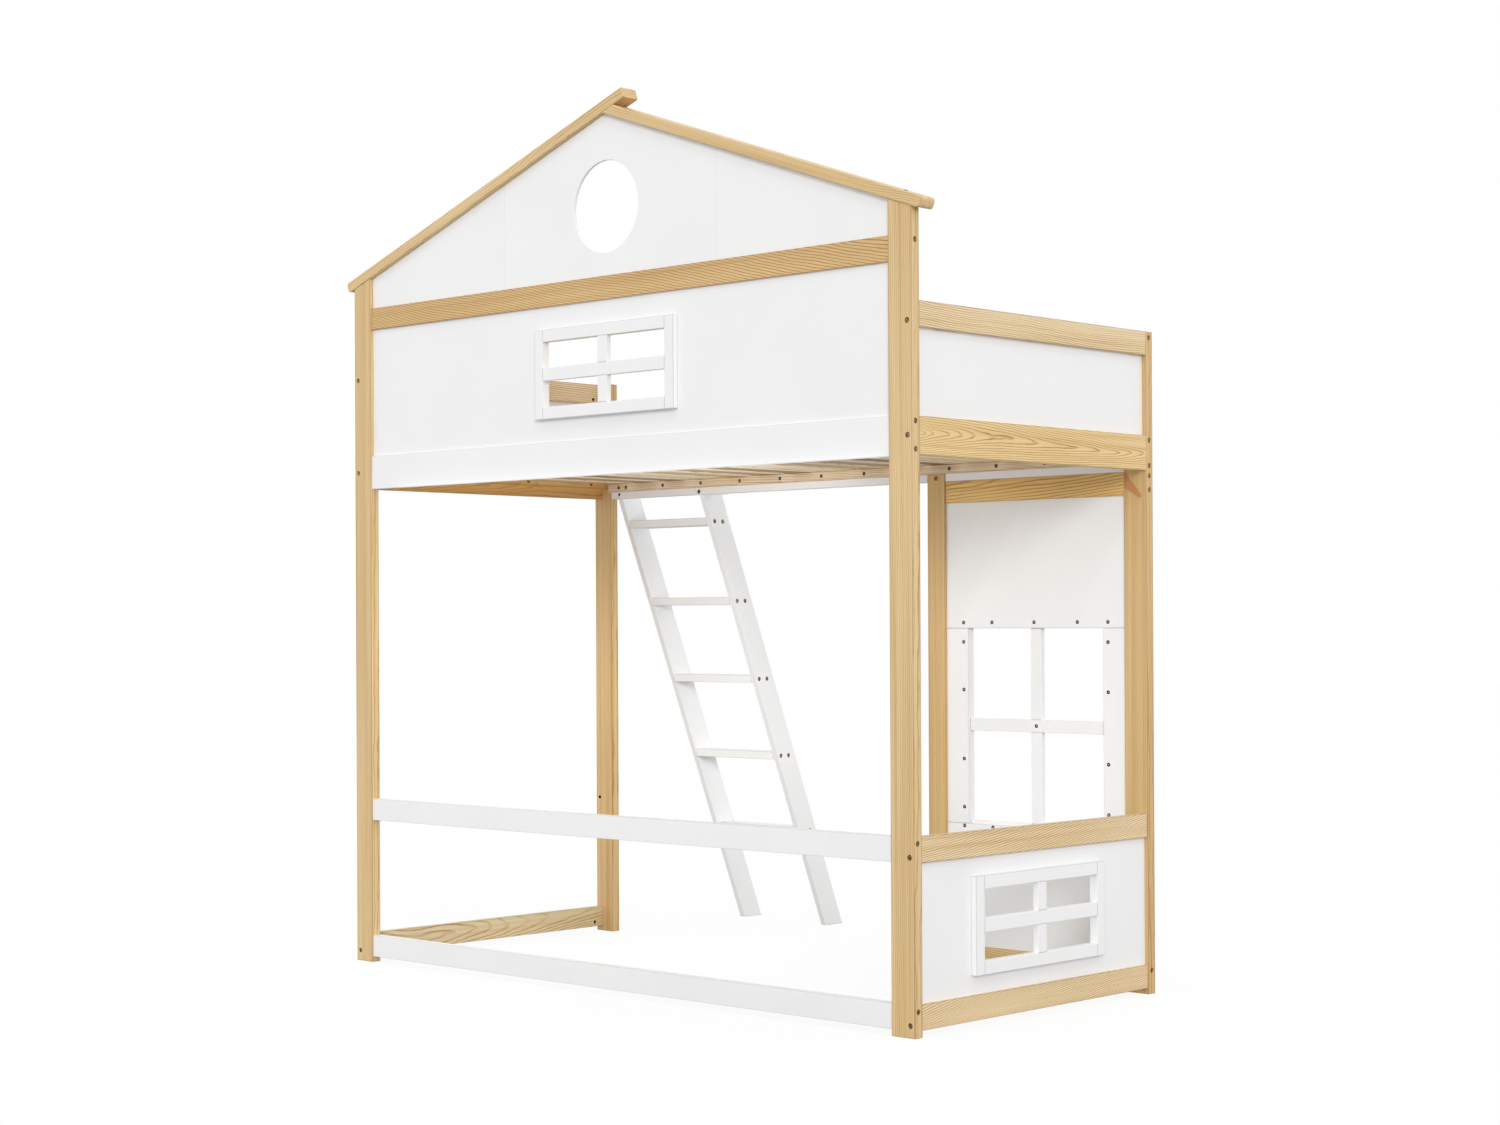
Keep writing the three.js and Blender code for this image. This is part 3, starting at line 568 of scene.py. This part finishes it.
# Bolts: bronzed steel furniture bolts with a hexagon socket, sunk a millimetre below the
# wood. They run through the posts into the rail ends, and through the stiles into the treads.
head_radius = 0.0065
head_height = 0.0040
head_sink = 0.0010
head_round = 0.0022
face_radius = 0.0038
shank_radius = 0.0030
shank_spare = 0.0080
socket_radius = 0.0019
socket_depth = 0.0026
nut_distance = 0.034
square_on = 0.9
smooth_angle = math.radians(40)
bronze_dark = tone(132, 94, 58)
bronze_worn = tone(228, 192, 148)
# Near black for the head's edge and socket: painted shade for the dark gap round the head.
rim_shade_dark = tone(12, 8, 6)
rim_shade_worn = tone(34, 24, 16)
blotch_scale = 310.0
speck_scale = 2400.0
metal_relief = 0.0001


def metal(name, dark, worn, gloss):
    """Plated steel, darker in the hollows of its finish and brighter where it has rubbed."""
    material = bpy.data.materials.new(name)
    material.use_nodes = True
    plate = Wire(material.node_tree)
    spot = plate.node("TexCoord", {}, {}, "Object")
    rubbed = ramp(noise(spot, blotch_scale, 3.0), 0.42, 0.66)
    speck = noise(spot, speck_scale, 2.0)
    bump = plate.node("Bump", {}, {"Height": speck, "Strength": 0.2, "Distance": metal_relief})
    finish = material.node_tree.nodes["Principled BSDF"]
    finish.inputs["Metallic"].default_value = 1.0
    plate.feed(finish.inputs["Base Color"], blend(rubbed, dark, worn))
    plate.feed(finish.inputs["Roughness"], gloss - rubbed * 0.10 + speck * 0.08)
    plate.feed(finish.inputs["Normal"], bump)
    return material


def start(add, **sizes):
    """Adds a primitive with nothing else selected, and applies its place."""
    bpy.ops.object.select_all(action="DESELECT")
    add(**sizes)
    bpy.ops.object.transform_apply()
    return bpy.context.object


def pick(piece, wanted):
    """Selects the faces, in edit mode, whose normal the test takes."""
    bpy.ops.mesh.select_all(action="DESELECT")
    net = bmesh.from_edit_mesh(piece.data)
    for face in net.faces:
        face.select_set(wanted(face.normal))
    bmesh.update_edit_mesh(piece.data)


def hollow(piece, cutter):
    """Cuts one piece out of another and throws the cutter away."""
    cut = piece.modifiers.new("cut", "BOOLEAN")
    cut.object = cutter
    cut.solver = "EXACT"
    bpy.context.view_layer.objects.active = piece
    bpy.ops.object.modifier_apply(modifier="cut")
    bpy.data.objects.remove(cutter)


def facing_up(normal):
    return normal.z > square_on


def facing_down(normal):
    return normal.z < -square_on


bronze = metal("bronzed_steel", bronze_dark, bronze_worn, gloss=0.34)
edge_and_socket_shade = metal("bronzed_steel_painted_shade", rim_shade_dark, rim_shade_worn, gloss=0.50)


def bolt(length):
    """A bolt whose head's top is at the origin and whose shank points down.

    The flat face of the head is worn bronze. The head's rounded edge is painted near black as shade, for the
    dark gap round it, and the socket is the same near black, both its own dark finish and painted shade.
    """
    made = start(bpy.ops.mesh.primitive_cylinder_add, vertices=24, radius=head_radius,
                 depth=head_height, location=(0, 0, -head_height / 2))
    bpy.ops.object.mode_set(mode="EDIT")
    bpy.ops.mesh.select_mode(type="FACE")
    pick(made, facing_up)
    bpy.ops.mesh.bevel(offset=head_round, segments=2)
    pick(made, facing_down)
    bpy.ops.mesh.inset(thickness=head_radius - shank_radius)
    bpy.ops.mesh.extrude_region_move(TRANSFORM_OT_translate={"value": (0, 0, -length)})
    bpy.ops.object.mode_set(mode="OBJECT")
    key = start(bpy.ops.mesh.primitive_cylinder_add, vertices=6, radius=socket_radius, depth=socket_depth * 2)
    hollow(made, key)
    bpy.ops.object.shade_smooth_by_angle(angle=smooth_angle)
    made.data.materials.append(bronze)
    made.data.materials.append(edge_and_socket_shade)
    for face in made.data.polygons:
        out = Vector(face.center[:2]).length
        flat = facing_up(face.normal) and face.center.z > -head_round
        face.material_index = 0 if flat and out < face_radius else 1
    return made


def drill(pattern, name, places, into, sink=head_sink):
    """Copies a fastener to each of its places, pointing into the wood."""
    turn = Vector((0, 0, -1)).rotation_difference(into).to_matrix().to_4x4()
    for number, place in enumerate(places, 1):
        copy = bpy.data.objects.new(f"{name}_{number}", pattern.data.copy())
        bpy.context.collection.objects.link(copy)
        copy.data.transform(Matrix.Translation(place + into * sink) @ turn)
        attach(copy, "root")


def middle(name):
    """The middle of a packed board's box."""
    low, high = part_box(name)
    return (low + high) / 2


def levels(rises):
    """The heights of some rails' bolts, each given as a rise from the middle of its rail."""
    return [middle(name).z + rise for name, rise_list in rises for rise in rise_list]


def column(x, y, heights):
    """Places one above another."""
    return [Vector((x, y, z)) for z in heights]


long_rise = 0.015
end_drop = 0.017
bed_spread = 0.033
wall_spread = 0.018
front_rises = [
    ("front_floor_rail", (long_rise,)),
    ("front_guard_rail", (long_rise,)),
    ("front_bed_rail", (-bed_spread, bed_spread)),
    ("gable_rail", (long_rise,)),
]
wall_rises = [("wall_floor_rail", (long_rise,)), ("wall_top_rail", (-wall_spread, wall_spread))]
bed_rises = [("back_bed_rail", (-bed_spread, bed_spread))]
guard_rises = [("right_top_rail", (long_rise,))]

front_left, front_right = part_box("post_front_left"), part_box("post_front_right")
back_left, back_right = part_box("post_back_left"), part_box("post_back_right")
wall_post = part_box("post_back_middle")
front_y, back_y = middle("post_front_left").y, middle("post_back_left").y
post_width = front_left[1].x - front_left[0].x
post_depth = front_left[1].y - front_left[0].y

long_bolt = bolt(post_width + nut_distance - head_sink - head_height + shank_spare)
front_heights = levels(front_rises)
right_heights = levels(bed_rises + guard_rises + wall_rises)
drill(long_bolt, "bolt_front_left", column(front_left[0].x, front_y, front_heights), x_way)
drill(long_bolt, "bolt_front_right", column(front_right[1].x, front_y, front_heights), -x_way)
drill(long_bolt, "bolt_back_left", column(back_left[0].x, back_y, levels(bed_rises)), x_way)
drill(long_bolt, "bolt_back_right", column(back_right[1].x, back_y, right_heights), -x_way)
drill(long_bolt, "bolt_wall_post", column(wall_post[0].x, back_y, levels(wall_rises)), x_way)
bpy.data.objects.remove(long_bolt)

left_rises = [("left_floor_rail", (-end_drop,)), ("left_bed_rail", (0.0,)), ("left_top_rail", (-end_drop,))]
right_rises = [
    ("right_floor_rail", (-end_drop,)),
    ("right_guard_rail", (-end_drop,)),
    ("right_bed_rail", (0.0,)),
    ("right_top_rail", (-end_drop,)),
]
end_bolt = bolt(post_depth + nut_distance - head_sink - head_height + shank_spare)
for side, rises in (("left", left_rises), ("right", right_rises)):
    x = middle(f"{side}_floor_rail").x
    drill(end_bolt, f"bolt_end_{side}_front", column(x, front_left[0].y, levels(rises)), y_way)
    drill(end_bolt, f"bolt_end_{side}_back", column(x, back_left[1].y, levels(rises)), -y_way)
bpy.data.objects.remove(end_bolt)

# Ladder and guard bolts: shorter ones of the same kind, two through each stile into each
# tread, one through the bed rail into the right stile, and shorter ones into the guard's
# post and through the lap of the middle post.
tread_bolt_length = 0.045
guard_bolt_length = 0.036
lap_bolt_length = 0.018
tread_spread = 0.0175
hook_rise = 0.010
guard_rise = 0.079
guard_post_inset = 0.030
guard_spread = 0.015
tread_bolt = bolt(tread_bolt_length)
left_stile, right_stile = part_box("ladder_stile_left"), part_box("ladder_stile_right")
for number, name in enumerate(tread_names, 1):
    tread = middle(name)
    for side, x, into in (("left", left_stile[0].x, x_way), ("right", right_stile[1].x, -x_way)):
        pair = [Vector((x, tread.y + off, tread.z)) for off in (-tread_spread, tread_spread)]
        drill(tread_bolt, f"bolt_tread_{number}_{side}", pair, into)
rail_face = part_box("back_bed_rail")[0].y
rail_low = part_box("back_bed_rail")[0].z
hook = Vector((middle("ladder_stile_right").x, rail_face, rail_low + hook_rise))
drill(tread_bolt, "bolt_stile", [hook], y_way)
bpy.data.objects.remove(tread_bolt)
guard_bolt = bolt(guard_bolt_length)
guard_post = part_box("back_guard")[0].x + guard_post_inset
guard_xs = [guard_post - guard_spread, guard_post + guard_spread]
drill(guard_bolt, "bolt_guard", [Vector((x, rail_face, rail_low + guard_rise)) for x in guard_xs], y_way)
bpy.data.objects.remove(guard_bolt)
lap_bolt = bolt(lap_bolt_length)
lap = Vector((middle("post_back_middle").x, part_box("post_back_middle")[0].y, rail_low + hook_rise))
drill(lap_bolt, "bolt_wall_lap", [lap], y_way)
bpy.data.objects.remove(lap_bolt)

# Barrel nuts: blackened steel cylinders let into the inside of the rails across the
# bolts, with a screwdriver slot in the end that shows.
nut_radius = 0.0050
nut_length = 0.015
nut_sink = 0.0020
nut_round = 0.0006
slot_size = (0.0084, 0.0013, 0.0024)
nut = start(bpy.ops.mesh.primitive_cylinder_add, vertices=24, radius=nut_radius, depth=nut_length,
            location=(0, 0, -nut_length / 2))
bpy.ops.object.mode_set(mode="EDIT")
bpy.ops.mesh.select_mode(type="FACE")
pick(nut, facing_up)
bpy.ops.mesh.bevel(offset=nut_round, segments=2)
bpy.ops.object.mode_set(mode="OBJECT")
blade = start(bpy.ops.mesh.primitive_cube_add, size=1, scale=slot_size)
hollow(nut, blade)
bpy.ops.object.shade_smooth_by_angle(angle=smooth_angle)
nut.data.materials.append(metal("blackened_zinc", tone(8, 6, 5), tone(26, 20, 17), gloss=0.50))

left_x, right_x = front_left[1].x + nut_distance, front_right[0].x - nut_distance
wall_x = wall_post[1].x + nut_distance
front_face, wall_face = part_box("front_floor_rail")[1].y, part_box("wall_floor_rail")[1].y
for side, x in (("left", left_x), ("right", right_x)):
    drill(nut, f"nut_front_{side}", column(x, front_face, front_heights), -y_way, nut_sink)
drill(nut, "nut_back_left", column(left_x, rail_face, levels(bed_rises)), y_way, nut_sink)
drill(nut, "nut_back_right", column(right_x, rail_face, levels(bed_rises + guard_rises)), y_way, nut_sink)
for side, x in (("left", wall_x), ("right", right_x)):
    drill(nut, f"nut_wall_{side}", column(x, wall_face, levels(wall_rises)), -y_way, nut_sink)
front_nut_y, back_nut_y = front_left[1].y + nut_distance, back_left[0].y - nut_distance
for rises, inner, into in ((left_rises, 1, -x_way), (right_rises, 0, x_way)):
    for name, (rise,) in rises:
        if "bed" in name:
            continue
        z = middle(name).z + rise
        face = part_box(name)[inner].x
        drill(nut, f"nut_{name}", [Vector((face, y, z)) for y in (front_nut_y, back_nut_y)], into, nut_sink)
bpy.data.objects.remove(nut)

# Wood screws: blackened countersunk screws with a cross recess, which hold the battens and
# cleats, the window trims from behind, the crossing of the wall window's bars and the roof.
# One sits in the back left post's spare hole, where the right end has its guard rail: a black head put there
# as painted shade for the dark inside of the hole.
screw_radius = 0.0052
screw_neck = 0.0017
screw_taper = 0.0026
screw_length = 0.014
screw_proud = -0.0003
roof_proud = -0.0012
cross_reach = 0.0046
cross_width = 0.0011
cross_depth = 0.0030
screw = start(bpy.ops.mesh.primitive_cone_add, vertices=20, radius1=screw_neck, radius2=screw_radius,
              depth=screw_taper, location=(0, 0, -screw_taper / 2))
bpy.ops.object.mode_set(mode="EDIT")
bpy.ops.mesh.select_mode(type="FACE")
pick(screw, facing_down)
bpy.ops.mesh.extrude_region_move(TRANSFORM_OT_translate={"value": (0, 0, -screw_length)})
bpy.ops.mesh.merge(type="CENTER")
bpy.ops.object.mode_set(mode="OBJECT")
for size in ((cross_reach, cross_width, cross_depth), (cross_width, cross_reach, cross_depth)):
    hollow(screw, start(bpy.ops.mesh.primitive_cube_add, size=1, scale=size))
bpy.ops.object.shade_smooth_by_angle(angle=smooth_angle)
screw.data.materials.append(metal("blackened_steel", tone(6, 5, 4), tone(20, 16, 14), gloss=0.55))

bed_start = front_left[0].x
row_pitch = 0.1625
end_screw = 0.129
left_screw = 0.161
right_screw = 1.933
from_left = [left_screw + number * row_pitch for number in range(7)]
from_right = [right_screw - number * row_pitch for number in range(5)]
for side, face, into in (("front", 1, -y_way), ("back", 0, y_way)):
    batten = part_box(f"slat_batten_{side}")
    z = (batten[0].z + batten[1].z) / 2
    row = [Vector((bed_start + along, batten[face].y, z)) for along in [end_screw] + from_left + from_right]
    drill(screw, f"screw_batten_{side}", row, into, screw_proud)
bed_middle = (front_y + back_y) / 2
cleat_rise = -0.001
cleat_pitch = 0.262
for side, face, into in (("left", 1, -x_way), ("right", 0, x_way)):
    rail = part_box(f"{side}_bed_rail")
    z = middle(f"{side}_bed_rail").z + cleat_rise
    row = [Vector((rail[face].x, bed_middle + step * cleat_pitch, z)) for step in (-1.5, -0.5, 0.5, 1.5)]
    drill(screw, f"screw_cleat_{side}", row, into, screw_proud)

trim_middle = 0.016
rail_shares = (0, 0.204, 0.5, 0.796, 1)
stile_shares = (0.093, 0.33, 0.67, 0.905)
small_shares = (0.05, 0.35, 0.65, 0.95)
wall_spots = [(u, v) for v in (0, 1) for u in rail_shares] + [(u, v) for u in (0, 1) for v in stile_shares]
small_spots = [(u, v) for v in (0, 1) for u in small_shares]


def screw_trim(name, window, board, into, spots):
    """Screws a window's trim on from behind its board, at shares of the way between the strips' middles."""
    low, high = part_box(window)
    inset = Vector((1, 1, 1)) * trim_middle
    span = high - low - inset * 2
    way = 0 if into.x else 1
    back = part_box(board)[0 if into[way] > 0 else 1][way]
    places = []
    for u, v in spots:
        place = low + inset + Vector((u * span.x, u * span.y, v * span.z))
        place[way] = back
        places.append(place)
    drill(screw, name, places, into, screw_proud)


screw_trim("screw_wall_window", "wall_window", "wall_panel_top", y_way, wall_spots)
crossing = middle("wall_window")
crossing.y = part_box("wall_window")[0].y
drill(screw, "screw_wall_cross", [crossing], y_way, screw_proud)
# A black screw head as painted shade in the back left post's spare hole.
hole_shade_place = Vector((middle("left_floor_rail").x, back_left[0].y, middle("right_guard_rail").z - end_drop))
drill(screw, "screw_for_hole_shade", [hole_shade_place], y_way, screw_proud)
screw_trim("screw_front_window", "front_window", "front_panel", -y_way, small_spots)
screw_trim("screw_right_window", "right_window", "right_lower_panel", x_way, small_spots)

roof_y = middle("roof_board_right").y
roof_up = 0.8
for side, post in (("left", front_left), ("right", front_right)):
    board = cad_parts[f"roof_board_{side}"]
    top = max((face for face in board.data.polygons if face.normal.z > roof_up), key=lambda face: face.area)
    x = (post[0].x + post[1].x) / 2
    z = top.center.z - top.normal.x * (x - top.center.x) / top.normal.z
    drill(screw, f"screw_roof_{side}", [Vector((x, roof_y, z))], -top.normal, roof_proud)
bpy.data.objects.remove(screw)
